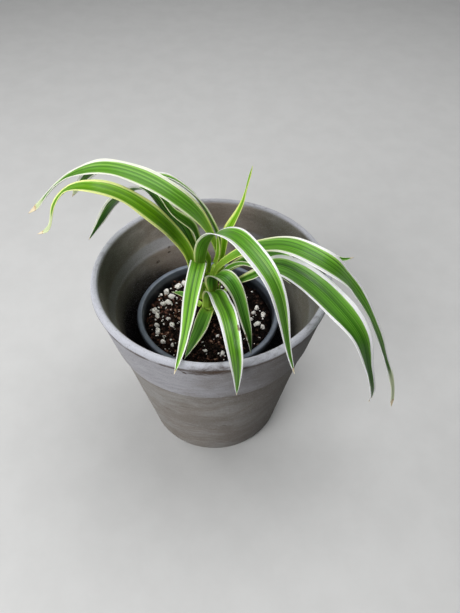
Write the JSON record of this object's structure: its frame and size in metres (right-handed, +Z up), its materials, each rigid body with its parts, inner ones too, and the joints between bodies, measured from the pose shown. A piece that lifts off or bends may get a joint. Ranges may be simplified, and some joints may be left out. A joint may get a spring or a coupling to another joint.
{
  "type": "potted spider plant",
  "caption": "Spider plant with green leaves edged in cream, in a thin black nursery pot that stands inside a grey-washed clay pot.",
  "frame": {"origin": "centre of the clay pot's flat foot, on the surface it stands on", "axes": "+Z up, +Y away from the viewer of the picture, +X to the viewer's right"},
  "size_m": [0.2535, 0.1723, 0.222],
  "materials": {
    "clay": "unglazed fired clay with a grey lime wash, rough and matt",
    "black_plastic": "thin black plastic, slightly glossy",
    "potting_soil": "damp dark potting soil with bark and white perlite",
    "crown_green": "pale yellow-green stem",
    "leaf_green": "satin green leaf with cream margins"
  },
  "bodies": {
    "root": {"clay_pot": "clay", "nursery_pot": "black_plastic", "soil": "potting_soil", "crown": "crown_green", "leaf_long_left_upper": "leaf_green", "leaf_long_left_lower": "leaf_green", "leaf_back_left_outer": "leaf_green", "leaf_back_left_drooping": "leaf_green", "leaf_back_left_inner": "leaf_green", "leaf_upright": "leaf_green", "leaf_front_right_arch": "leaf_green", "leaf_front_left_hanging": "leaf_green", "leaf_on_soil": "leaf_green", "leaf_front_middle": "leaf_green", "leaf_front_right_inner": "leaf_green", "leaf_long_right_upper": "leaf_green", "leaf_long_right_lower": "leaf_green", "leaf_back_right": "leaf_green", "leaf_short_right": "leaf_green", "leaf_small_left": "leaf_green", "leaf_young_spear": "leaf_green"}
  },
  "joints": []
}
